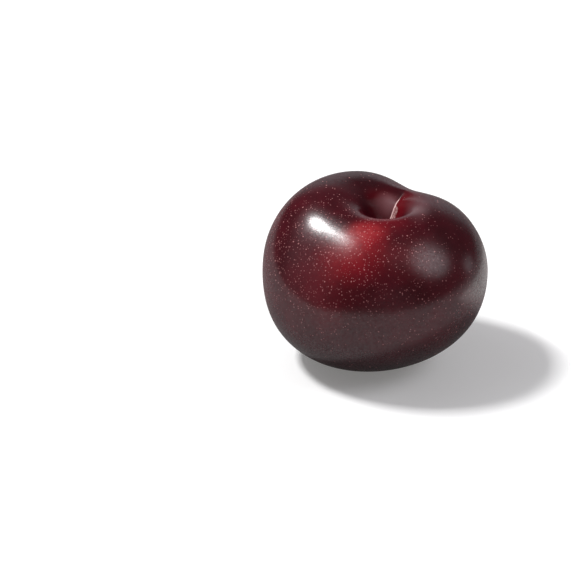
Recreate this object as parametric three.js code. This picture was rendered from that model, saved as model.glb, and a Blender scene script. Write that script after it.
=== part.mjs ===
// A whole plum, as picked, lying on its base with the stalk end up.
//
// The fruit grew as one piece, so it is one solid. Its form starts as a body of revolution whose
// upper and lower halves are superellipses, lower and flatter above the girth than below it.
// Four things then bend that body into a plum:
//   the suture, a shallow furrow that runs from the stalk end down one side;
//   the shoulders, which stand higher on one side of the stalk than on the other;
//   the cavity, the dimple that the stalk was pulled from;
//   the lean, because the fruit doesn't lie with its stalk end straight up.
// Where it lies, the skin is pressed to a small flat spot.
//
// Lengths are in millimetres and angles in degrees. +Z is up, and the origin is on the surface
// that the plum lies on, under the middle of its box. Headings run from +X towards +Y.

import * as THREE from 'three';
import { mergeVertices } from 'three/addons/utils/BufferGeometryUtils.js';

const { degToRad, lerp, smoothstep } = THREE.MathUtils;

// Driving dimensions

const GIRTH_RADIUS = 32.4;

// Each half reaches height above or below the girth. Power 2 would make it an ellipse, and more
// makes it squarer. blend is how far past the girth, as a sine of latitude, one half turns into
// the other.
const UPPER_HALF = { height: 25.3, power: 2.14 };
const LOWER_HALF = { height: 27.6, power: 2.28 };
const HALVES_BLEND = 0.35;

// The furrow is depth deep at its middle, which is that many degrees down from the stalk end.
// It fades over fade degrees either way along the fruit, and over halfWidth to each side.
// It starts over the stalk end between start and full, measured along its own heading.
const SUTURE = { heading: 61, depth: 3.5, halfWidth: 10.4, middle: 54, fade: 43, start: -3, full: 6 };

// rise is the share of its height by which the girth's edge is lifted at the heading, and
// lowered opposite. Inside reach, as a share of the girth radius, it fades to nothing.
const SHOULDERS = { heading: 154, rise: 0.12, reach: 0.7 };

// The dimple's wall falls at radius from its middle, which lies offset behind the axis.
const CAVITY = { depth: 10.5, radius: 9.5, power: 2.9, offset: 1.7 };

const LEAN_TO_FRONT = 5.8;
const LEAN_TO_RIGHT = 2.4;

// How far the lowest point of the skin is pressed in to make the flat spot.
const FOOT_PRESS = 0.5;

// Each edge of a 20-sided ball is cut into this many and one more.
const MESH_DETAIL = 19;

const SKIN = { color: 0x4b1820, roughness: 0.3, metalness: 0 };

const RIGHT = new THREE.Vector3(1, 0, 0);
const BACK = new THREE.Vector3(0, 1, 0);

// The level unit vector at a heading.
function levelVector(heading) {
  return new THREE.Vector3(Math.cos(degToRad(heading)), Math.sin(degToRad(heading)), 0);
}

const SUTURE_ALONG = levelVector(SUTURE.heading);
const SUTURE_ACROSS = levelVector(SUTURE.heading + 90);
const SHOULDERS_ALONG = levelVector(SHOULDERS.heading);

// How far the body of revolution's skin is from the centre, in the direction of a unit vector.
function bodyRadius(direction) {
  const upper = smoothstep(direction.z, -HALVES_BLEND, HALVES_BLEND);
  const height = lerp(LOWER_HALF.height, UPPER_HALF.height, upper);
  const power = lerp(LOWER_HALF.power, UPPER_HALF.power, upper);
  const outward = Math.hypot(direction.x, direction.y) / GIRTH_RADIUS;
  const upward = Math.abs(direction.z) / height;
  return (outward ** power + upward ** power) ** (-1 / power);
}

// A hump that is 1 where x is 0 and falls away on both sides, over about width.
function hump(x, width, power = 2) {
  return Math.exp(-(Math.abs(x / width) ** power));
}

// How deep the suture is at a point of the skin.
function sutureDepth(point, direction) {
  const fromStalkEnd = THREE.MathUtils.radToDeg(Math.acos(direction.z));
  const side = smoothstep(point.dot(SUTURE_ALONG), SUTURE.start, SUTURE.full);
  const across = hump(point.dot(SUTURE_ACROSS), SUTURE.halfWidth);
  return SUTURE.depth * side * across * hump(fromStalkEnd - SUTURE.middle, SUTURE.fade);
}

// By what factor the shoulders lift or lower a point of the skin.
function shoulderFactor(point) {
  const outward = Math.hypot(point.x, point.y) / GIRTH_RADIUS;
  const towardsHigh = point.dot(SHOULDERS_ALONG) / GIRTH_RADIUS;
  return 1 + SHOULDERS.rise * towardsHigh * smoothstep(outward, 0, SHOULDERS.reach);
}

// How far the cavity lowers a point of the skin.
function cavityDepth(point) {
  const fromMiddle = Math.hypot(point.x, point.y - CAVITY.offset);
  return CAVITY.depth * hump(fromMiddle, CAVITY.radius, CAVITY.power);
}

// The point of the skin that lies in the direction of a unit vector, before the foot is pressed.
function skinPoint(direction) {
  const radius = bodyRadius(direction);
  const point = direction.clone().multiplyScalar(radius);
  point.multiplyScalar(1 - sutureDepth(point, direction) / radius);
  point.z *= shoulderFactor(point);
  if (direction.z > 0) {
    point.z -= cavityDepth(point);
  }
  return point
    .applyAxisAngle(RIGHT, degToRad(LEAN_TO_FRONT))
    .applyAxisAngle(BACK, degToRad(LEAN_TO_RIGHT));
}

// A finely divided 20-sided ball, with each corner moved out to the plum's skin.
function skinGeometry() {
  const ball = new THREE.IcosahedronGeometry(1, MESH_DETAIL);
  ball.deleteAttribute('normal');
  ball.deleteAttribute('uv');
  const geometry = mergeVertices(ball);
  const corners = geometry.getAttribute('position');
  const corner = new THREE.Vector3();
  for (let i = 0; i < corners.count; i += 1) {
    corner.fromBufferAttribute(corners, i).normalize();
    corners.setXYZ(i, ...skinPoint(corner));
  }
  return geometry;
}

// Lifts the corners below the foot's level up to it, which leaves a true flat face there.
function pressFoot(geometry) {
  geometry.computeBoundingBox();
  const level = geometry.boundingBox.min.z + FOOT_PRESS;
  const corners = geometry.getAttribute('position');
  for (let i = 0; i < corners.count; i += 1) {
    corners.setZ(i, Math.max(corners.getZ(i), level));
  }
}

// Moves the geometry so that it stands on the origin's level, with its box centred over it.
function standOnOrigin(geometry) {
  geometry.computeBoundingBox();
  const { min, max } = geometry.boundingBox;
  geometry.translate(-(min.x + max.x) / 2, -(min.y + max.y) / 2, -min.z);
}

function makePlum() {
  const geometry = skinGeometry();
  pressFoot(geometry);
  standOnOrigin(geometry);
  geometry.computeVertexNormals();
  const plum = new THREE.Mesh(geometry, new THREE.MeshStandardMaterial(SKIN));
  plum.name = 'plum';
  return plum;
}

const group = new THREE.Group();
group.add(makePlum());

export default group;
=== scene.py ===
"""A whole dark dessert plum, as picked, lying on a pale floor with its stalk end up.

Lengths are in metres unless a name or a comment says millimetres, headings run from +X towards
+Y in degrees, and colours are linear.
"""

import logging
import math
from dataclasses import dataclass
from typing import Any, Union

import bpy
import numpy as np
from mathutils import Matrix, Vector

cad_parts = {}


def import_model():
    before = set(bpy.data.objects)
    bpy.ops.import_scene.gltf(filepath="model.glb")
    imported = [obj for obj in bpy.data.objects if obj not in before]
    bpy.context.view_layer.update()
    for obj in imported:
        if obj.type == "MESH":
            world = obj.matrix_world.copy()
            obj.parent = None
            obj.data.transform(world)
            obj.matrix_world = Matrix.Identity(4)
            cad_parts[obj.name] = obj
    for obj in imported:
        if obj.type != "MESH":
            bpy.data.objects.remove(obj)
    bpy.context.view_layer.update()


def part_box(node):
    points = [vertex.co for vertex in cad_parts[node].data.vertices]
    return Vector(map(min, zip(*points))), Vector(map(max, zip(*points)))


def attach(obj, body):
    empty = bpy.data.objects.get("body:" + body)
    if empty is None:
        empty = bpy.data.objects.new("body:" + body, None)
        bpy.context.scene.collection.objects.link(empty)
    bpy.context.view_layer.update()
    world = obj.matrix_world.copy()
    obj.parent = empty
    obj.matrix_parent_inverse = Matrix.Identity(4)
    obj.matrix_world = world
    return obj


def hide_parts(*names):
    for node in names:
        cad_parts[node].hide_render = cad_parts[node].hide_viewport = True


log = logging.getLogger("plum")

MM = 0.001
SHORTEST = 1e-12
Socket = bpy.types.NodeSocket
Colour = tuple[float, float, float]
Point = tuple[float, float, float]
Span = tuple[float, float]
Levels = tuple[float, float, float, float]
BLACK: Colour = (0.0, 0.0, 0.0)


# ---- Helpers ----


def smooth_step(x: np.ndarray, low: float, high: float) -> np.ndarray:
    """0 below low, 1 above high, and 3k² - 2k³ of the share k of the way between them."""
    share = np.clip((x - low) / (high - low), 0.0, 1.0)
    return share * share * (3.0 - 2.0 * share)


def hump(x: np.ndarray, width: float, power: float = 2.0) -> np.ndarray:
    """1 where x is 0, falling on both sides as e to the minus (x over width) to a power."""
    return np.exp(-(np.abs(x / width) ** power))


def turned(points: np.ndarray, about_x: float, about_y: float) -> np.ndarray:
    """Points turned about X and then about Y.

    Args:
        points: an array whose last axis is x, y, z.
        about_x: degrees about +X.
        about_y: degrees about +Y, after that.

    Returns:
        The turned points, in the same shape.
    """
    cx, sx = math.cos(math.radians(about_x)), math.sin(math.radians(about_x))
    cy, sy = math.cos(math.radians(about_y)), math.sin(math.radians(about_y))
    first = np.array([[1, 0, 0], [0, cx, -sx], [0, sx, cx]])
    second = np.array([[cy, 0, sy], [0, 1, 0], [-sy, 0, cy]])
    return points @ (second @ first).T


def heading_vector(heading: float) -> np.ndarray:
    """The level unit vector at a heading in degrees."""
    return np.array([math.cos(math.radians(heading)), math.sin(math.radians(heading)), 0.0])


def along_across(
    points: np.ndarray, heading: float, middle: Point = (0.0, 0.0, 0.0)
) -> tuple[np.ndarray, np.ndarray]:
    """How far points lie from a middle along a heading, and to the left of it."""
    away = points - np.array(middle)
    return away @ heading_vector(heading), away @ heading_vector(heading + 90.0)


def grid_normals(points: np.ndarray) -> np.ndarray:
    """Unit normals of a grid that runs down its rows and round its columns.

    The normal is the cross product of the step down the rows and the step round the columns,
    turned to point away from the grid's middle.

    Args:
        points: rows by columns by 3.

    Returns:
        The normals, in the same shape.
    """
    down = np.gradient(points, axis=0)
    around = np.roll(points, -1, axis=1) - np.roll(points, 1, axis=1)
    normals = np.cross(down, around)
    normals /= np.maximum(np.linalg.norm(normals, axis=-1, keepdims=True), SHORTEST)
    outward = np.sum(normals * (points - points.mean(axis=(0, 1))), axis=-1).mean()
    return normals if outward > 0 else -normals


def placed(name: str, data: bpy.types.ID) -> bpy.types.Object:
    """A new object of the scene, at the origin.

    Args:
        name: its name.
        data: its mesh, light or camera.

    Returns:
        The object.
    """
    made = bpy.data.objects.new(name, data)
    bpy.context.scene.collection.objects.link(made)
    return made


def closed_mesh(name: str, grid: np.ndarray, attributes: dict[str, np.ndarray]) -> bpy.types.Object:
    """A closed mesh from a grid whose first and last rows are poles.

    Each quad joins two rows and two columns, the columns close on themselves, and each pole is
    one vertex with a fan of triangles.

    Args:
        name: the object's name.
        grid: rows by columns by 3, in metres, with the first row at one pole.
        attributes: vector attributes by name, in the same shape as the grid.

    Returns:
        The new object, at the origin.
    """
    rows, columns = grid.shape[:2]

    def flat(values: np.ndarray) -> np.ndarray:
        """The grid's values as a list, with one for each pole."""
        return np.vstack([values[0].mean(0), values[1:-1].reshape(-1, 3), values[-1].mean(0)])

    index = np.arange((rows - 2) * columns).reshape(rows - 2, columns) + 1
    ahead = np.roll(index, -1, axis=1)
    quads = np.stack([index[:-1], index[1:], ahead[1:], ahead[:-1]], axis=-1).reshape(-1, 4)
    last = (rows - 2) * columns + 1
    top = np.stack([np.zeros(columns, int), index[0], ahead[0]], axis=-1)
    bottom = np.stack([ahead[-1], index[-1], np.full(columns, last)], axis=-1)
    mesh = bpy.data.meshes.new(name)
    mesh.from_pydata(flat(grid).tolist(), [], [*top.tolist(), *quads.tolist(), *bottom.tolist()])
    for label, values in attributes.items():
        layer = mesh.attributes.new(label, "FLOAT_VECTOR", "POINT")
        layer.data.foreach_set("vector", flat(values).astype(np.float32).ravel())
    mesh.polygons.foreach_set("use_smooth", np.ones(len(mesh.polygons), bool))
    mesh.update()
    return placed(name, mesh)


# ---- Shaders ----


class Wire:
    """One number socket of a shader, with arithmetic that adds its Math nodes."""

    def __init__(self, shader: "Shader", socket: Socket) -> None:
        """Wraps an output socket of the shader's tree."""
        self.shader = shader
        self.socket = socket

    def math(self, operation: str, *values: "Value") -> "Wire":
        """A Math node on the given values, in order."""
        return self.shader.wire("ShaderNodeMath", {"operation": operation}, dict(enumerate(values)), 0)

    def __add__(self, other: "Value") -> "Wire":
        """self + other."""
        return self.math("ADD", self, other)

    def __sub__(self, other: "Value") -> "Wire":
        """self - other."""
        return self.math("SUBTRACT", self, other)

    def __rsub__(self, other: "Value") -> "Wire":
        """other - self."""
        return self.math("SUBTRACT", other, self)

    def __mul__(self, other: "Value") -> "Wire":
        """self * other."""
        return self.math("MULTIPLY", self, other)

    __radd__ = __add__
    __rmul__ = __mul__

    def size(self) -> "Wire":
        """Self without its sign."""
        return self.math("ABSOLUTE", self)

    def larger(self, other: "Value") -> "Wire":
        """The larger of self and other."""
        return self.math("MAXIMUM", self, other)

    def ramp(self, low: "Value", high: "Value", start: "Value" = 0.0, end: "Value" = 1.0) -> "Wire":
        """A smooth step from one result to another.

        Args:
            low: where the step starts.
            high: where it ends, which may be below its start.
            start: the result up to low.
            end: the result from high on.

        Returns:
            The result.
        """
        settings = {"interpolation_type": "SMOOTHSTEP"}
        sockets = {"Value": self, "From Min": low, "From Max": high, "To Min": start, "To Max": end}
        return self.shader.wire("ShaderNodeMapRange", settings, sockets, 0)


Value = Union[Wire, Socket, float, tuple]


class Shader:
    """A material or world under construction.

    A colour Mix node numbers its inputs 0 for the share, and 6 and 7 for the colours. Its colour
    is output 2.
    """

    def __init__(self, owner: Union[bpy.types.Material, bpy.types.World]) -> None:
        """Empties the owner's node tree and keeps it.

        Args:
            owner: a new material or world.
        """
        owner.use_nodes = True
        self.tree = owner.node_tree
        self.tree.nodes.clear()

    def node(self, kind: str, settings: dict[str, Any], sockets: dict[Any, Value]) -> bpy.types.Node:
        """Adds a node.

        Args:
            kind: the node's type.
            settings: its own properties, which are set first.
            sockets: values or links of its inputs, by name or number.

        Returns:
            The node.
        """
        made = self.tree.nodes.new(kind)
        for key, value in settings.items():
            setattr(made, key, value)
        for key, value in sockets.items():
            source = value.socket if isinstance(value, Wire) else value
            if isinstance(source, Socket):
                self.tree.links.new(source, made.inputs[key])
            else:
                made.inputs[key].default_value = source
        return made

    def wire(self, kind: str, settings: dict[str, Any], sockets: dict[Any, Value], out: Any) -> Wire:
        """Adds a node and wraps one of its outputs."""
        return Wire(self, self.node(kind, settings, sockets).outputs[out])

    def noise(self, place: Value, size: float, detail: float, roughness: float) -> Wire:
        """Smooth noise of about 0.5, whose features are size metres across."""
        sockets = {"Vector": place, "Scale": 1.0 / size, "Detail": detail, "Roughness": roughness}
        return self.wire("ShaderNodeTexNoise", {"normalize": True}, sockets, "Fac")

    def place(self) -> Socket:
        """Object coordinates in metres."""
        return self.node("ShaderNodeTexCoord", {}, {}).outputs["Object"]

    def attribute(self, name: str) -> Socket:
        """A vector attribute of the mesh."""
        return self.node("ShaderNodeAttribute", {"attribute_name": name}, {}).outputs["Vector"]

    def vector(self, operation: str, *values: Value) -> Socket:
        """A Vector Math node that gives a vector."""
        made = self.node("ShaderNodeVectorMath", {"operation": operation}, dict(enumerate(values)))
        return made.outputs[0]

    def length(self, vector: Value) -> Wire:
        """The length of a vector."""
        return self.wire("ShaderNodeVectorMath", {"operation": "LENGTH"}, {0: vector}, "Value")

    def level_length(self, vector: Value) -> Wire:
        """The length of a vector's level part."""
        return self.length(self.vector("MULTIPLY", vector, (1.0, 1.0, 0.0)))

    def dot(self, one: Value, other: Value) -> Wire:
        """The dot product of two vectors."""
        settings = {"operation": "DOT_PRODUCT"}
        return self.wire("ShaderNodeVectorMath", settings, {0: one, 1: other}, "Value")

    def split(self, vector: Value) -> tuple[Wire, Wire, Wire]:
        """The three numbers of a vector."""
        made = self.node("ShaderNodeSeparateXYZ", {}, {0: vector})
        return tuple(Wire(self, output) for output in made.outputs)

    def mix(self, share: Value, one: Value, other: Value) -> Socket:
        """One colour turned by a share into another.

        Args:
            share: how much of the second colour, from 0 to 1.
            one: the first colour, or its socket.
            other: the second.

        Returns:
            The colour socket.
        """
        sockets = {0: share, 6: opaque(one), 7: opaque(other)}
        return self.node("ShaderNodeMix", {"data_type": "RGBA"}, sockets).outputs[2]

    def bump(self, height: Wire) -> Socket:
        """The normal of a surface with a height in metres."""
        sockets = {"Height": height, "Strength": 1.0, "Distance": 1.0}
        return self.node("ShaderNodeBump", {}, sockets).outputs[0]

    def surface(self, sockets: dict[Any, Value]) -> None:
        """Ends a material in a Principled surface with these sockets."""
        made = self.node("ShaderNodeBsdfPrincipled", {}, sockets)
        self.node("ShaderNodeOutputMaterial", {}, {"Surface": made.outputs[0]})


def opaque(colour: Value) -> Value:
    """A plain colour with its alpha, or the socket as it is."""
    return (*colour, 1.0) if isinstance(colour, tuple) and len(colour) == 3 else colour


# ---- The form of the fruit ----


@dataclass(frozen=True)
class Half:
    """The upper or lower half of the body of revolution, as a superellipse."""

    height: float
    power: float


@dataclass(frozen=True)
class Suture:
    """The shallow furrow that runs from the stalk end down one side.

    Its middle and fade are degrees down from the stalk end.
    """

    heading: float = 61.0
    depth: float = 3.3 * MM
    half_width: float = 10.0 * MM
    middle: float = 54.0
    fade: float = 43.0
    starts: Span = (-3.0 * MM, 6.0 * MM)


@dataclass(frozen=True)
class Shoulders:
    """The side of the fruit that stands higher than the other."""

    heading: float = 154.0
    rise: float = 0.12
    reach: float = 0.7


@dataclass(frozen=True)
class Pit:
    """The steep round hole at the bottom of the cavity, which held the stalk."""

    depth: float = 6.3 * MM
    radius: float = 5.7 * MM
    power: float = 2.6
    middle: Point = (2.2 * MM, -1.4 * MM, 0.0)
    stretch: float = 0.92


@dataclass(frozen=True)
class Cavity:
    """The wide funnel that the stalk was pulled from: an oval, and tighter on one side."""

    depth: float = 4.6 * MM
    radius: float = 10.6 * MM
    power: float = 1.78
    middle: Point = (-1.5 * MM, -0.9 * MM, 0.0)
    long_heading: float = 71.0
    stretch: float = 1.01
    tight_heading: float = 214.0
    tight_width: float = 57.5
    tightness: float = 0.11


@dataclass(frozen=True)
class Fold:
    """The sharp valley that the suture makes down the cavity's far wall, beside its own line."""

    heading: float = 66.0
    offset: float = -2.3 * MM
    depth: float = 2.35 * MM
    half_width: float = 3.6 * MM
    rounding: float = 0.12 * MM
    starts: Span = (-2.0 * MM, 5.0 * MM)
    ends: Span = (8.7 * MM, 13.6 * MM)


@dataclass(frozen=True)
class Flat:
    """A stretch of skin that is a little flatter than the rest."""

    middle: Point
    heading: float
    length: float
    width: float
    depth: float


@dataclass(frozen=True)
class Ripple:
    """One long soft wave over the skin, which keeps reflections from looking machined."""

    height: float
    waves: Point
    phase: float


@dataclass(frozen=True)
class Stance:
    """How the fruit stands: its lean in degrees, and the inset and shift that put it in place."""

    lean_to_front: float
    lean_to_right: float
    inset: float
    shift: Point

    def place(self, points: np.ndarray) -> np.ndarray:
        """Points of the fruit's own frame where they stand on the floor, before any pressing."""
        leaning = turned(points, self.lean_to_front, self.lean_to_right)
        return leaning * self.inset + np.array(self.shift)


@dataclass
class PlumSkin:
    """The fruit's outside: one closed skin with its cavity, suture, fold and pressed foot."""

    girth_radius: float = 32.4 * MM
    upper: Half = Half(25.8 * MM, 2.14)
    lower: Half = Half(27.6 * MM, 2.28)
    halves_blend: float = 0.35
    suture: Suture = Suture()
    shoulders: Shoulders = Shoulders()
    cavity: Cavity = Cavity()
    pit: Pit = Pit()
    fold: Fold = Fold()
    flat: Flat = Flat((-18.55 * MM, -22.95 * MM, 0.0), -25.0, 15.6 * MM, 15.0 * MM, 2.65 * MM)
    flat_fade: Span = (0.0, 14.0 * MM)
    lean_to_front: float = 5.8
    lean_to_right: float = 2.4
    foot_press: float = 0.5 * MM
    foot_round: float = 0.25 * MM
    ripples: tuple[Ripple, ...] = (
        Ripple(0.05 * MM, (2.1, 1.3, 1.7), 0.4),
        Ripple(0.04 * MM, (-1.2, 2.9, 2.2), 2.1),
        Ripple(0.025 * MM, (3.9, -2.4, 3.1), 4.0),
        Ripple(0.012 * MM, (-6.3, 5.1, 7.4), 1.2),
    )
    rows: int = 290
    columns: int = 320
    even_rows: float = 0.62
    fine_heading: float = 45.0
    column_pull: float = 0.7
    inset: float = 0.998

    def directions(self) -> np.ndarray:
        """Unit vectors on a grid of polar angle by heading.

        Row s runs from 0 to 1 and its polar angle is 180° times (e s + (1 - e) s²), where e is
        the share of even rows, which puts the rows closer together in the cavity. Column u runs
        from 0 to 1 and its heading is the fine heading, plus 360° u, less the column pull in
        radians times the sine of 360° u, which puts the columns closer together along the seam.

        Returns:
            Rows by columns by 3, from straight up to straight down.
        """
        s = np.linspace(0.0, 1.0, self.rows)[:, None]
        u = np.linspace(0.0, 1.0, self.columns, endpoint=False)[None, :]
        polar = math.pi * (self.even_rows * s + (1.0 - self.even_rows) * s * s)
        turn = 2.0 * math.pi * u
        around = turn - self.column_pull * np.sin(turn) + math.radians(self.fine_heading)
        flat = np.sin(polar)
        return np.stack([flat * np.cos(around), flat * np.sin(around), np.cos(polar) + 0 * u], axis=-1)

    def body_radius(self, way: np.ndarray) -> np.ndarray:
        """How far the body of revolution reaches along each unit vector.

        It is (a to the n, plus b to the n) to the power of -1/n, where a is the level part over
        the girth radius, b the upright part over the half's height, and n the half's power.

        Args:
            way: unit vectors.

        Returns:
            The reach along each of them.
        """
        share = smooth_step(way[..., 2], -self.halves_blend, self.halves_blend)
        height = self.lower.height + (self.upper.height - self.lower.height) * share
        power = self.lower.power + (self.upper.power - self.lower.power) * share
        outward = np.hypot(way[..., 0], way[..., 1]) / self.girth_radius
        upward = np.abs(way[..., 2]) / height
        return (outward**power + upward**power) ** (-1.0 / power)

    def suture_depth(self, points: np.ndarray, way: np.ndarray) -> np.ndarray:
        """How deep the suture is: a hump across it, times one along it, on its own side.

        Args:
            points: places on the body.
            way: their unit vectors from the middle.

        Returns:
            The depth at each place.
        """
        suture = self.suture
        along, across = along_across(points, suture.heading)
        polar = np.degrees(np.arccos(np.clip(way[..., 2], -1.0, 1.0)))
        share = smooth_step(along, *suture.starts) * hump(polar - suture.middle, suture.fade)
        return suture.depth * share * hump(across, suture.half_width)

    def flat_depth(self, points: np.ndarray) -> np.ndarray:
        """How deep the flat is drawn in: a hump along it times one across it.

        It fades out smoothly towards the girth.

        Args:
            points: places on the body.

        Returns:
            The depth at each place.
        """
        along, across = along_across(points, self.flat.heading, self.flat.middle)
        drawn = self.flat.depth * hump(along, self.flat.length) * hump(across, self.flat.width)
        return drawn * smooth_step(points[..., 2], *self.flat_fade)

    def cavity_depth(self, points: np.ndarray) -> np.ndarray:
        """How far the cavity lets the skin down.

        It is a hump of the distance from the cavity's middle, plus the pit's own hump. The
        distance is shortened along the oval's long way by its stretch, and lengthened near the
        tight heading by 1 over (1 less the tightness times a hump of the angle from there).

        Args:
            points: places on the body.

        Returns:
            The depth at each place.
        """
        cavity = self.cavity
        along, across = along_across(points, cavity.long_heading, cavity.middle)
        turn = np.degrees(np.arctan2(across, along)) + cavity.long_heading - cavity.tight_heading
        turn = (turn + 180.0) % 360.0 - 180.0
        reach = cavity.radius * (1.0 - cavity.tightness * hump(turn, cavity.tight_width))
        funnel = cavity.depth * hump(np.hypot(along / cavity.stretch, across), reach, cavity.power)
        from_pit = points - np.array(self.pit.middle)
        off_pit = np.hypot(from_pit[..., 0], from_pit[..., 1] / self.pit.stretch)
        return funnel + self.pit.depth * hump(off_pit, self.pit.radius, self.pit.power)

    def fold_depth(self, points: np.ndarray) -> np.ndarray:
        """How far the fold lets the skin down: e to the minus distance across it, over its width.

        The distance is the root of its square plus the rounding's, so the valley has a tight
        round bottom.

        Args:
            points: places on the body.

        Returns:
            The depth at each place.
        """
        fold = self.fold
        along, across = along_across(points, fold.heading)
        share = smooth_step(along, *fold.starts) * (1.0 - smooth_step(along, *fold.ends))
        off_line = np.hypot(across - fold.offset, fold.rounding)
        return fold.depth * share * np.exp(-off_line / fold.half_width)

    def grown(self, way: np.ndarray) -> np.ndarray:
        """The skin in the fruit's own frame, with its stalk end straight up.

        Each unit vector is taken out to the body's radius, drawn in by the suture and the flat,
        lifted or lowered by the shoulders, and in the upper half let down by the cavity and the
        fold.

        Args:
            way: unit vectors on a grid.

        Returns:
            The skin on the same grid, without its ripples.
        """
        radius = self.body_radius(way)
        points = way * radius[..., None]
        points = points * (1.0 - self.suture_depth(points, way) / radius)[..., None]
        points = points * (1.0 - self.flat_depth(points) / radius)[..., None]
        outward = np.hypot(points[..., 0], points[..., 1]) / self.girth_radius
        to_high = points @ heading_vector(self.shoulders.heading) / self.girth_radius
        rise = self.shoulders.rise * to_high * smooth_step(outward, 0.0, self.shoulders.reach)
        points[..., 2] *= 1.0 + rise
        sunk = self.cavity_depth(points) + self.fold_depth(points)
        points[..., 2] -= np.where(way[..., 2] > 0.0, sunk, 0.0)
        return points

    def relief(self, points: np.ndarray) -> np.ndarray:
        """Long soft waves of the skin, along its normal.

        A wave is its height times the sine of a weighted sum of the place's three coordinates,
        each over the girth radius.

        Args:
            points: places on the skin.

        Returns:
            The height at each place.
        """
        share = points / self.girth_radius
        return sum(r.height * np.sin(share @ np.array(r.waves) + r.phase) for r in self.ripples)

    def skin(self) -> np.ndarray:
        """The grid of the skin in the fruit's own frame, with its relief."""
        grown = self.grown(self.directions())
        return grown + grid_normals(grown) * self.relief(grown)[..., None]

    def pressed(self, leaning: np.ndarray) -> np.ndarray:
        """Leaning points pressed flat at the foot, whose level is 0 afterwards.

        Heights below the foot's level rise to it along a rounded corner, (h + sqrt(h² + r²)) / 2
        for a height h over the level and a rounding r.

        Args:
            leaning: the skin where it leans.

        Returns:
            The pressed skin.
        """
        over = leaning[..., 2] - leaning[..., 2].min() - self.foot_press
        pressed = leaning.copy()
        pressed[..., 2] = (over + np.sqrt(over * over + self.foot_round**2)) / 2.0
        return pressed

    def build(self, low: Vector, high: Vector) -> tuple[bpy.types.Object, Stance]:
        """Makes the skin, where the solid that it replaces stands.

        The fruit leans, is pressed at the foot, and is drawn in very slightly, so that it stays
        inside the solid's box.

        Args:
            low: the lowest corner of the solid's box.
            high: its highest corner.

        Returns:
            The skin's object, with its fruit-frame place as an attribute, and how it stands.
        """
        grown = self.skin()
        leaning = turned(grown, self.lean_to_front, self.lean_to_right)
        pressed = self.pressed(leaning)
        corners = np.array([pressed.min(axis=(0, 1)), pressed.max(axis=(0, 1))])
        middle = (corners[0] + corners[1]) / 2.0
        middle[2] = corners[0][2]
        stands = np.array([(low.x + high.x) / 2.0, (low.y + high.y) / 2.0, low.z])
        made = closed_mesh("plum_skin", (pressed - middle) * self.inset + stands, {"fruit_place": grown})
        middle[2] += leaning[..., 2].min() + self.foot_press
        shift = stands - middle * self.inset
        return made, Stance(self.lean_to_front, self.lean_to_right, self.inset, tuple(shift))


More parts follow.
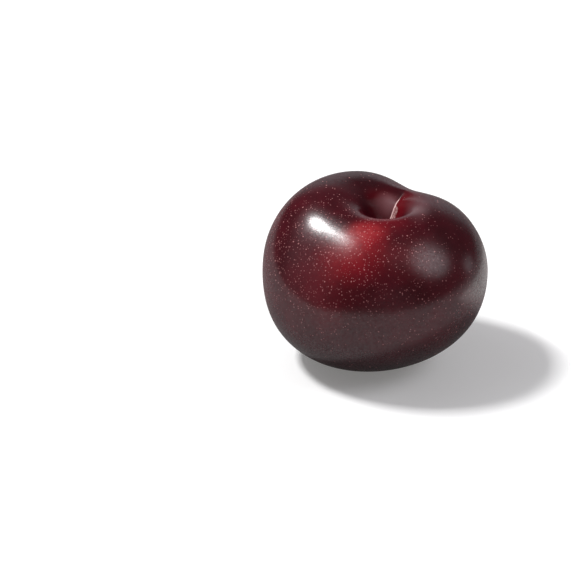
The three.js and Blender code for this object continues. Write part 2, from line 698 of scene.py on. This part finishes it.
@dataclass
class StalkScar:
    """The corky scar at the bottom of the cavity: a ragged ring round a pit with broken fibres.

    A rag is one wave round the ring: its number in a turn, its phase and its weight. The pit and
    the fibres reach to a share of the ring's radius.
    """

    radius: float = 2.0 * MM
    ring_radius: float = 1.35 * MM
    ring_width: float = 0.50 * MM
    ring_height: float = 0.22 * MM
    rags: tuple[tuple[float, float, float], ...] = ((3.0, 0.7, 1.0), (7.0, 2.1, 0.8), (16.0, 0.2, 0.6))
    ring_ragged: float = 0.22
    edge_ragged: float = 0.03
    pit_depth: float = 0.35 * MM
    pit_share: float = 0.75
    pit_power: float = 3.0
    fibres: int = 11
    fibre_height: float = 0.10 * MM
    fibre_wave: float = 0.20 * MM
    fibre_share: float = 0.8
    fibre_power: float = 4.0
    lift: float = 0.05 * MM
    sunk: float = 0.04 * MM
    thickness: float = 0.5 * MM
    top_rows: float = 0.75
    top_fade: float = 0.12
    under_fade: float = 0.25
    search_radius: float = 8.0 * MM
    ground_radius: float = 4.0 * MM
    rows: int = 56
    columns: int = 120

    def ground(self, skin: np.ndarray) -> tuple[np.ndarray, np.ndarray]:
        """The cavity's lowest place, and the weights of a curved surface that fits it.

        Args:
            skin: the grid of the skin in the fruit's own frame.

        Returns:
            The lowest place, and by least squares the weights of 1, x, y, x², xy and y² that give
            the skin's height round it, where x and y are the distances from that place.
        """
        upper = skin[: skin.shape[0] // 2]
        near = upper[np.hypot(upper[..., 0], upper[..., 1]) < self.search_radius]
        lowest = near[near[:, 2].argmin()]
        away = near - lowest
        away = away[np.hypot(away[:, 0], away[:, 1]) < self.ground_radius]
        weights = np.linalg.lstsq(self.terms(away), away[:, 2], rcond=None)[0]
        return lowest, weights

    @staticmethod
    def terms(away: np.ndarray) -> np.ndarray:
        """1, x, y, x², xy and y² of each point."""
        x, y = away[..., 0], away[..., 1]
        return np.stack([np.ones_like(x), x, y, x * x, x * y, y * y], axis=-1)

    def relief(self, outward: np.ndarray, around: np.ndarray, ragged: np.ndarray) -> np.ndarray:
        """The height of the scar's upper side over the ground.

        It is the ring's hump of the distance from the ring's radius, made ragged, less the pit's
        hump of the distance from the middle, plus the fibres: a cosine wave round the middle
        times a sine wave outwards, under a hump of the distance.

        Args:
            outward: distances from the middle.
            around: headings in radians.
            ragged: the sum of the rags at each heading.

        Returns:
            The height at each place.
        """
        ring = self.ring_height * (1.0 + self.ring_ragged * ragged)
        ring = ring * hump(outward - self.ring_radius, self.ring_width)
        pit = self.pit_depth * hump(outward, self.pit_share * self.ring_radius, self.pit_power)
        waves = np.cos(self.fibres * around) * np.sin(outward / self.fibre_wave)
        reach = hump(outward, self.fibre_share * self.ring_radius, self.fibre_power)
        return ring - pit + self.fibre_height * waves * reach + self.lift

    def build(self, skin: np.ndarray, stance: Stance) -> bpy.types.Object:
        """Makes the scar on the skin's ground.

        A row's share s from 0 to 1 goes out over the top to the edge, and back under it. The
        relief sinks to nothing at the edge, and the underside lies below the skin.

        Args:
            skin: the grid of the skin in the fruit's own frame.
            stance: how the fruit stands.

        Returns:
            The scar's object, with its place on the scar as an attribute.
        """
        lowest, weights = self.ground(skin)
        s = np.linspace(0.0, 1.0, self.rows)[:, None]
        around = np.linspace(0.0, 2.0 * math.pi, self.columns, endpoint=False)[None, :]
        on_top = s < self.top_rows
        share = np.where(on_top, s / self.top_rows, (1.0 - s) / (1.0 - self.top_rows))
        ragged = sum(weight * np.sin(number * around + phase) for number, phase, weight in self.rags)
        outward = share * self.radius * (1.0 + self.edge_ragged * ragged)
        over = self.relief(outward, around, ragged) * smooth_step(1.0 - share, 0.0, self.top_fade)
        under = -self.thickness * smooth_step(1.0 - share, 0.0, self.under_fade)
        away = np.stack([outward * np.cos(around), outward * np.sin(around), 0.0 * outward], axis=-1)
        away[..., 2] = self.terms(away) @ weights + np.where(on_top, over, under) - self.sunk
        return closed_mesh("stalk_scar", stance.place(away + lowest), {"scar_place": away})


# ---- Finishes ----


@dataclass(frozen=True)
class Mottle:
    """Smooth noise of a size, whose levels between low and high run from least to most."""

    size: float
    detail: float
    roughness: float
    low: float
    high: float
    least: float = 0.0
    most: float = 1.0

    def share(self, shader: Shader, place: Value) -> Wire:
        """Its level at a place in metres."""
        noise = shader.noise(place, self.size, self.detail, self.roughness)
        return noise.ramp(self.low, self.high, self.least, self.most)


@dataclass(frozen=True)
class Patch:
    """A soft region of the skin, round a point of the part's frame, in millimetres."""

    centre: Point
    reach: Point
    soft: float = 1.0

    def share(self, shader: Shader, place: Value) -> Wire:
        """1 at the centre, falling to 0 at the reach on each axis over the soft share of it.

        Args:
            shader: the material.
            place: object coordinates in metres.

        Returns:
            The share, from 0 to 1.
        """
        away = shader.vector("SUBTRACT", place, tuple(c * MM for c in self.centre))
        scaled = shader.vector("DIVIDE", away, tuple(r * MM for r in self.reach))
        return shader.length(scaled).ramp(1.0, 1.0 - self.soft)


@dataclass(frozen=True)
class Pores:
    """Pale breathing pores scattered through the skin, at most one in each cell of a mesh of cells.

    The sizes are metres: how far apart the cells are, a pore's smallest and largest radius, and
    its soft edge. Sparse and dense are the shares of the cells that have a pore.
    """

    cell: float
    smallest: float
    largest: float
    edge: float
    sparse: float
    dense: float
    faintest: float = 0.25
    sharpness: float = 0.01

    def strength(self, shader: Shader, place: Value, crowding: Wire) -> Wire:
        """How strongly a pore shows at a place.

        A pore is a ball round the point of its cell, and shows where the skin cuts it. Its cell
        has one random number for whether it is there, one for its size and one for its paleness.

        Args:
            shader: the material.
            place: object coordinates in metres.
            crowding: 0 where the pores are sparse, 1 where they are dense.

        Returns:
            The strength, from 0 to 1.
        """
        cells = shader.node("ShaderNodeTexVoronoi", {}, {"Vector": place, "Scale": 1.0 / self.cell})
        away = Wire(shader, cells.outputs["Distance"]) * self.cell
        chance, size, paleness = shader.split(cells.outputs["Color"])
        radius = size.ramp(0.0, 1.0, self.smallest, self.largest)
        ball = away.ramp(radius, radius - self.edge)
        spare = crowding.ramp(0.0, 1.0, self.sparse, self.dense) - chance
        shown = spare.ramp(-self.sharpness, self.sharpness)
        return ball * shown * paleness.ramp(0.0, 1.0, self.faintest)


@dataclass(frozen=True)
class SeamLine:
    """The fine corky line down the fold, with a faint fan of fibres on its right lower down.

    A span is two places, along the fold or across it, between which a thing comes in.
    """

    widens: Span = (11.5 * MM, 8.0 * MM)
    half_widths: Span = (0.06 * MM, 0.21 * MM)
    core: float = 0.4
    fan_opens: Span = (7.4 * MM, 5.2 * MM)
    fan_width: float = 1.6 * MM
    near_edge: Span = (0.1 * MM, -0.1 * MM)
    far_edge: Span = (0.0, 0.3 * MM)
    fan_levels: Levels = (0.36, 0.60, 0.10, 0.44)
    lower_end: Span = (2.0 * MM, 3.0 * MM)
    upper_end: Span = (11.0 * MM, 8.5 * MM)

    def cover(self, along: Wire, across: Wire, grain: Wire) -> Wire:
        """How much of the skin is cork.

        Args:
            along: the distance along the fold, uphill.
            across: the distance to its left.
            grain: the skin's grain, which breaks up the fan.

        Returns:
            The share, from 0 to 1.
        """
        half_width = along.ramp(*self.widens, *self.half_widths)
        line = across.size().ramp(half_width, half_width * self.core)
        fan_width = along.ramp(*self.fan_opens) * self.fan_width
        fan = across.ramp(*self.near_edge) * (across + fan_width).ramp(*self.far_edge)
        both = line.larger(fan * grain.ramp(*self.fan_levels))
        return both * along.ramp(*self.lower_end) * along.ramp(*self.upper_end)


@dataclass(frozen=True)
class SkinFinish:
    """Semi-gloss waxy plum skin: near black, maroon and red, with pale pores, pale patches that are
    partly bloom and partly painted reflection, and painted shade low down and on the right side.
    """

    name: str = "plum_skin"
    black: Colour = (0.041, 0.0036, 0.0066)
    maroon: Colour = (0.070, 0.0048, 0.0100)
    red: Colour = (0.400, 0.0085, 0.0160)
    pink: Colour = (0.420, 0.0380, 0.0420)
    pore: Colour = (0.84, 0.36, 0.36)
    corky: Colour = (0.84, 0.55, 0.53)
    # Near black: painted shade low down and on the right side, and darker skin at the top behind.
    foot: Colour = (0.012, 0.0028, 0.0042)
    blossom: Colour = (0.170, 0.075, 0.050)
    blossom_patch: Patch = Patch((-1.2, 2.8, 0.0), (1.5, 1.5, 1.5), 0.5)
    shade: Mottle = Mottle(11.0 * MM, 3.0, 0.55, 0.3, 0.7)
    # Pale pinkish grey: partly waxy bloom, partly a painted reflection of the room.
    bloom_and_sheen: Colour = (0.500, 0.265, 0.285)
    # Partly bloom and partly painted reflection on the cavity's far wall, left of the seam.
    wall_bloom_and_sheen: tuple[Patch, float] = (Patch((3.9, 3.0, 46.0), (5.6, 5.2, 6.0)), 0.36)
    # Painted sheen: a pale streak of reflection along the cavity's right rim.
    rim_painted_sheen: tuple[Patch, float] = (Patch((11.4, -4.6, 48.0), (5.4, 10.0, 4.4)), 0.16)
    bloom_and_sheen_edge: Span = (-0.2 * MM, 0.4 * MM)
    matte_patch: Patch = Patch((-0.2, 3.2, 47.2), (6.0, 5.0, 4.5), 0.8)
    upper_fade: Span = (0.0, 1.0 * MM)
    pit_fade: Span = (8.5 * MM, 5.0 * MM)
    pit_coat: float = 0.12
    pit_pores: Span = (7.0 * MM, 12.0 * MM)
    seam: SeamLine = SeamLine()
    red_patches: tuple[tuple[Patch, float], ...] = (
        (Patch((-2.9, -19.0, 47.0), (9.5, 8.5, 8.0)), 0.50),
        (Patch((3.0, -13.5, 48.5), (10.0, 7.0, 6.0)), 0.20),
        (Patch((-7.0, -23.5, 43.0), (15.5, 11.5, 12.0)), 0.46),
        (Patch((-14.0, -26.0, 35.0), (20.0, 15.0, 20.0)), 0.08),
        (Patch((11.0, -23.0, 41.0), (15.0, 11.0, 10.0)), 0.13),
    )
    wall_patch: Patch = Patch((7.5, 4.0, 44.0), (8.5, 9.5, 8.0))
    wall_red: float = 0.40
    wall_edge: Span = (0.1 * MM, -0.5 * MM)
    far_wall_patch: Patch = Patch((1.0, 4.5, 45.0), (8.5, 7.0, 7.0), 0.7)
    far_wall_red: float = 0.22
    red_mottle: Mottle = Mottle(2.6 * MM, 4.0, 0.6, 0.25, 0.65, 0.72, 1.0)
    pink_patch: Patch = Patch((-3.0, -17.5, 47.5), (9.0, 5.0, 5.0))
    pink_mottle: Mottle = Mottle(1.8 * MM, 3.0, 0.5, 0.05, 0.95)
    crowded: tuple[tuple[Patch, float], ...] = (
        (Patch((-15.0, -24.0, 40.0), (52.0, 46.0, 36.0)), 1.0),
        (Patch((24.0, -20.0, 22.0), (26.0, 30.0, 30.0)), 0.45),
        (Patch((4.0, 32.0, 28.0), (44.0, 34.0, 32.0)), 0.5),
    )
    fine_pores: Pores = Pores(0.62 * MM, 0.11 * MM, 0.21 * MM, 0.07 * MM, 0.06, 0.84)
    large_pores: Pores = Pores(1.10 * MM, 0.16 * MM, 0.27 * MM, 0.08 * MM, 0.08, 0.80)
    pore_fade: Span = (26.0 * MM, 46.0 * MM)
    pore_levels: Span = (0.27, 0.54)
    pore_height: float = 0.012 * MM
    pore_dulling: float = 0.5
    # Painted shade: the skin turns near black low down, towards the floor.
    foot_shade_fade: Span = (27.0 * MM, 6.0 * MM)
    # Painted shade on the right side, and darker skin at the top behind.
    shade_and_dark_skin_patches: tuple[tuple[Patch, float], ...] = (
        # Painted shade, low on the right.
        (Patch((26.0, -14.0, 12.0), (24.0, 28.0, 22.0)), 1.0),
        # Painted shade, on the right edge.
        (Patch((32.0, -4.0, 32.0), (14.0, 30.0, 26.0)), 0.60),
        # Darker skin, at the top behind.
        (Patch((-5.0, 18.0, 52.0), (26.0, 34.0, 18.0)), 0.75),
        # Painted shade, high on the right.
        (Patch((24.0, 2.0, 42.0), (18.0, 24.0, 18.0)), 0.55),
    )
    unevenness: Mottle = Mottle(6.0 * MM, 3.0, 0.5, 0.3, 0.7, 0.41, 0.49)
    pore_roughness: float = 0.12
    seam_roughness: float = 0.25
    grain: tuple[float, float, float] = (0.45 * MM, 2.0, 0.6)
    grain_height: float = 0.010 * MM
    grain_levels: Levels = (0.32, 0.68, 0.68, 1.32)
    coat: float = 0.205
    waxy_patch: Patch = Patch((-14.5, -16.5, 44.0), (17.0, 15.0, 14.0), 0.7)
    waxy_share: float = 0.80
    coat_roughness: float = 0.235
    coat_ior: float = 2.2

    def make(self, form: PlumSkin) -> bpy.types.Material:
        """The material.

        Args:
            form: the skin's form, which places the seam and the pit in the fruit's own frame.

        Returns:
            The new material.
        """
        made = bpy.data.materials.new(self.name)
        shader = Shader(made)
        place = shader.place()
        fruit = shader.attribute("fruit_place")
        along = shader.dot(fruit, tuple(heading_vector(form.fold.heading)))
        across = shader.dot(fruit, tuple(heading_vector(form.fold.heading + 90.0))) - form.fold.offset
        upper = shader.split(fruit)[2].ramp(*self.upper_fade)
        off_pit = shader.level_length(shader.vector("SUBTRACT", fruit, form.pit.middle))
        matte = (off_pit.ramp(*self.pit_fade) * upper).larger(self.matte_patch.share(shader, place))
        pores = self.pores(shader, place) * off_pit.ramp(*self.pit_pores)
        grain = shader.noise(place, *self.grain)
        seam = self.seam.cover(along, across, grain) * upper
        colour = self.ground(shader, place, across)
        # Pale patches: partly bloom, partly painted reflection on the cavity's wall and rim.
        colour = shader.mix(self.bloom_and_sheen_cover(shader, place, across), colour, self.bloom_and_sheen)
        colour = shader.mix(pores, colour, self.pore)
        colour = shader.mix(seam, colour, self.corky)
        colour = shader.mix(self.blossom_patch.share(shader, place), colour, self.blossom)
        gloss = matte.ramp(0.0, 1.0, self.coat, self.coat * self.pit_coat)
        gloss = gloss * (1.0 - pores * self.pore_dulling)
        gloss = gloss * (1.0 + self.waxy_patch.share(shader, place) * self.waxy_share)
        rough = self.unevenness.share(shader, place)
        sockets = {
            "Base Color": colour,
            "Roughness": rough + pores * self.pore_roughness + seam * self.seam_roughness,
            "Specular IOR Level": 0.0,
            "Coat Weight": gloss * grain.ramp(*self.grain_levels),
            "Coat Roughness": self.coat_roughness,
            "Coat IOR": self.coat_ior,
            "Normal": shader.bump(pores * self.pore_height + grain * self.grain_height),
        }
        shader.surface(sockets)
        return made

    def bloom_and_sheen_cover(self, shader: Shader, place: Value, across: Wire) -> Wire:
        """How much pale colour covers the skin: partly bloom and partly painted reflection on the wall
        left of the seam, and a painted sheen on the rim.

        Args:
            shader: the material.
            place: object coordinates in metres.
            across: the distance to the left of the seam.

        Returns:
            The share, from 0 to 1.
        """
        (wall, wall_share), (rim, rim_share) = self.wall_bloom_and_sheen, self.rim_painted_sheen
        on_wall = wall.share(shader, place) * across.ramp(*self.bloom_and_sheen_edge) * wall_share
        return on_wall.larger(rim.share(shader, place) * rim_share)

    def ground(self, shader: Shader, place: Value, across: Wire) -> Socket:
        """The skin's colour without its pale bloom and painted reflection, pores and seam.

        Black turns to maroon by the shade mottle, a random tone, to red in the red patches and on the
        cavity's walls, to near black as painted shade low down and on the right side and as darker skin
        at the top behind, and to pink in the pink patch.

        Args:
            shader: the material.
            place: object coordinates in metres.
            across: the distance to the left of the seam.

        Returns:
            The colour socket.
        """
        colour = shader.mix(self.shade.share(shader, place), self.black, self.maroon)
        reds = sum(patch.share(shader, place) * amount for patch, amount in self.red_patches)
        right_wall = self.wall_patch.share(shader, place) * across.ramp(*self.wall_edge)
        reds = reds.larger(right_wall * self.wall_red)
        reds = reds.larger(self.far_wall_patch.share(shader, place) * self.far_wall_red)
        colour = shader.mix(reds * self.red_mottle.share(shader, place), colour, self.red)
        # Painted shade: near black low down and on the right side, with darker skin at the top behind.
        dark = shader.split(place)[2].ramp(*self.foot_shade_fade)
        for patch, amount in self.shade_and_dark_skin_patches:
            dark = dark.larger(patch.share(shader, place) * amount)
        colour = shader.mix(dark, colour, self.foot)
        pinkness = self.pink_patch.share(shader, place) * self.pink_mottle.share(shader, place)
        return shader.mix(pinkness, colour, self.pink)

    def pores(self, shader: Shader, place: Value) -> Wire:
        """How strongly the fine or the large pores show, which is less low down.

        Args:
            shader: the material.
            place: object coordinates in metres.

        Returns:
            The strength, from 0 to 1.
        """
        crowding = sum(patch.share(shader, place) * amount for patch, amount in self.crowded)
        fine = self.fine_pores.strength(shader, place, crowding)
        both = fine.larger(self.large_pores.strength(shader, place, crowding))
        return both * shader.split(place)[2].ramp(*self.pore_fade, *self.pore_levels)


@dataclass(frozen=True)
class ScarFinish:
    """Dry corky tissue: tan on the ring, dark brown in the pit and round the edge."""

    name: str = "stalk_scar"
    tan: Colour = (0.190, 0.074, 0.048)
    brown: Colour = (0.075, 0.024, 0.016)
    dark: Colour = (0.030, 0.010, 0.007)
    ring_edge: Span = (0.75 * MM, 0.10 * MM)
    pit_edge: Span = (0.8 * MM, 0.3 * MM)
    pit_dark: float = 0.8
    grain: tuple[float, float, float] = (0.35 * MM, 4.0, 0.65)
    flecks: Span = (0.40, 0.62)
    grain_height: float = 0.12 * MM
    roughness: float = 0.85

    def make(self, form: StalkScar) -> bpy.types.Material:
        """The material.

        Args:
            form: the scar's form, which gives the ring's radius.

        Returns:
            The new material.
        """
        made = bpy.data.materials.new(self.name)
        shader = Shader(made)
        place = shader.attribute("scar_place")
        outward = shader.level_length(place)
        grain = shader.noise(place, *self.grain)
        on_ring = (outward - form.ring_radius).size().ramp(*self.ring_edge)
        colour = shader.mix(on_ring * grain.ramp(*self.flecks), self.brown, self.tan)
        colour = shader.mix(outward.ramp(*self.pit_edge) * self.pit_dark, colour, self.dark)
        normal = shader.bump(grain * self.grain_height)
        shader.surface({"Base Color": colour, "Roughness": self.roughness, "Normal": normal})
        return made


# ---- Studio ----


@dataclass(frozen=True)
class Softbox:
    """A soft rectangular light, aimed at the plum, with its power in watts."""

    name: str
    heading: float
    elevation: float
    roll: float
    distance: float
    wide: float
    high: float
    power: float


@dataclass(frozen=True)
class Glow:
    """A soft bright region of the room's walls, as the plum sees it, with its reach in degrees."""

    heading: float
    elevation: float
    inner: float
    outer: float
    strength: float

    def radiance(self, shader: Shader, way: Value) -> Wire:
        """Its light from each direction: its strength inside, falling smoothly to 0 outside.

        Args:
            shader: the world.
            way: directions, as unit vectors.

        Returns:
            The light.
        """
        nearness = shader.dot(way, tuple(direction(self.heading, self.elevation)))
        outer, inner = math.cos(math.radians(self.outer)), math.cos(math.radians(self.inner))
        return nearness.ramp(outer, inner, 0.0, self.strength)


def direction(heading: float, elevation: float) -> Vector:
    """The unit vector at a heading and an elevation in degrees."""
    rise = math.radians(elevation)
    return Vector(heading_vector(heading) * math.cos(rise)) + Vector((0.0, 0.0, math.sin(rise)))


@dataclass
class Studio:
    """Camera, floor, light and surroundings. The camera puts the plum where its pixels are.

    A fade is two distances between which the floor's light rises: along +Y, and in towards a
    place at the plum's side.
    """

    aim: Point = (0.0, 0.0, 27.0 * MM)
    camera_elevation: float = 25.0
    camera_distance: float = 0.9
    clip_start: float = 0.01
    pixels: float = 571.0
    plum_pixel: Span = (374.8, 268.5)
    plum_pixels: float = 226.0
    plum_width: float = 65.0 * MM
    sensor: float = 36.0
    floor_half: float = 4.0
    floor_colour: Colour = (0.85, 0.85, 0.85)
    floor_roughness: float = 0.9
    key: Softbox = Softbox("key_light", 167.7, 56.8, 10.0, 1.6, 0.36, 0.26, 24.6)
    floor_glow: float = 0.18
    side_glow: float = 2.5
    side_place: Point = (0.120, 0.060, 0.0)
    side_fade: Span = (0.088, 0.058)
    floor_dim: float = 0.30
    floor_fade: Span = (-0.20, -0.147)
    room: float = 0.08
    room_tint: Colour = (0.99, 0.985, 1.03)
    glow_colour: Colour = (1.0, 0.985, 0.96)
    glows: tuple[Glow, ...] = (
        Glow(165.0, 56.0, 6.0, 32.0, 0.6),
        Glow(-8.0, 41.5, 2.0, 22.0, 3.7),
        Glow(-40.0, 63.0, 2.0, 22.0, 0.30),
        Glow(25.0, 7.0, 1.0, 9.0, 2.0),
        Glow(85.0, 8.0, 8.0, 32.0, 1.3),
        Glow(-75.0, 4.0, 4.0, 34.0, 0.18),
        Glow(-165.0, 12.0, 6.0, 32.0, 0.30),
        Glow(0.0, 90.0, 8.0, 36.0, 0.08),
    )

    def camera(self) -> None:
        """A long-lens camera looking down at the plum from the front."""
        tilt = math.radians(self.camera_elevation)
        right = Vector((1.0, 0.0, 0.0))
        up = Vector((0.0, math.sin(tilt), math.cos(tilt)))
        back = Vector((0.0, -math.cos(tilt), math.sin(tilt)))
        middle = self.pixels / 2.0
        pixels_per_metre = self.plum_pixels / self.plum_width
        off_right = (self.plum_pixel[0] - middle) / pixels_per_metre
        off_up = (middle - self.plum_pixel[1]) / pixels_per_metre
        data = bpy.data.cameras.new("camera")
        data.sensor_width = self.sensor
        data.lens = self.sensor * pixels_per_metre * self.camera_distance / self.pixels
        data.clip_start = self.clip_start
        camera = placed("camera", data)
        camera.location = Vector(self.aim) + back * self.camera_distance
        looks_at = Vector(self.aim) - right * off_right - up * off_up
        camera.rotation_mode = "QUATERNION"
        camera.rotation_quaternion = (looks_at - camera.location).to_track_quat("-Z", "Y")
        bpy.context.scene.camera = camera

    def softbox(self, box: Softbox) -> None:
        """One area light.

        Args:
            box: the light to make.
        """
        data = bpy.data.lights.new(box.name, "AREA")
        data.shape = "RECTANGLE"
        data.size = box.wide
        data.size_y = box.high
        data.energy = box.power
        light = placed(box.name, data)
        way = direction(box.heading, box.elevation)
        light.location = Vector(self.aim) + way * box.distance
        sideways = direction(box.heading + 90.0, 0.0)
        upward = way.cross(sideways)
        roll = math.radians(box.roll)
        wide_way = sideways * math.cos(roll) + upward * math.sin(roll)
        high_way = way.cross(wide_way)
        light.rotation_mode = "QUATERNION"
        light.rotation_quaternion = Matrix((wide_way, high_way, way)).transposed().to_quaternion()

    def floor(self) -> None:
        """A wide pale level floor, which dims some way in front of the plum.

        It gives off a little light of its own, and more beside the plum.
        """
        half = self.floor_half
        mesh = bpy.data.meshes.new("floor")
        corners = [(-half, -half, 0.0), (half, -half, 0.0), (half, half, 0.0), (-half, half, 0.0)]
        mesh.from_pydata(corners, [], [(0, 1, 2, 3)])
        material = bpy.data.materials.new("floor")
        shader = Shader(material)
        place = shader.place()
        light = shader.split(place)[1].ramp(*self.floor_fade, self.floor_dim, 1.0)
        from_side = shader.length(shader.vector("SUBTRACT", place, self.side_place))
        glow = light * from_side.ramp(*self.side_fade, self.floor_glow / self.side_glow, 1.0)
        sockets = {
            "Base Color": shader.mix(light, BLACK, self.floor_colour),
            "Roughness": self.floor_roughness,
            "Emission Color": shader.mix(glow, BLACK, self.glow_colour),
            "Emission Strength": self.side_glow,
        }
        shader.surface(sockets)
        mesh.materials.append(material)
        placed("floor", mesh)

    def surroundings(self) -> None:
        """A dim room with a few soft bright regions, which the plum reflects."""
        world = bpy.data.worlds.new("room")
        bpy.context.scene.world = world
        shader = Shader(world)
        way = shader.node("ShaderNodeTexCoord", {}, {}).outputs["Generated"]
        light = sum(glow.radiance(shader, way) for glow in self.glows) + self.room
        sockets = {"Color": (*self.room_tint, 1.0), "Strength": light}
        sky = shader.node("ShaderNodeBackground", {}, sockets)
        shader.node("ShaderNodeOutputWorld", {}, {"Surface": sky.outputs[0]})

    def build(self) -> None:
        """Everything in the studio."""
        self.camera()
        self.floor()
        self.softbox(self.key)
        self.surroundings()
        bpy.context.scene.view_settings.view_transform = "Standard"


def main() -> None:
    """Builds the plum in its studio, in order."""
    logging.basicConfig(level=logging.INFO, format="%(name)s: %(message)s")
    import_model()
    Studio().build()
    form = PlumSkin()
    skin, stance = form.build(*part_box("plum"))
    skin.data.materials.append(SkinFinish().make(form))
    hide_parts("plum")
    scar_form = StalkScar()
    scar = scar_form.build(form.skin(), stance)
    scar.data.materials.append(ScarFinish().make(scar_form))
    for piece in (skin, scar):
        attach(piece, "root")
        log.info("%s: %d faces", piece.name, len(piece.data.polygons))


if __name__ == "__main__":
    main()
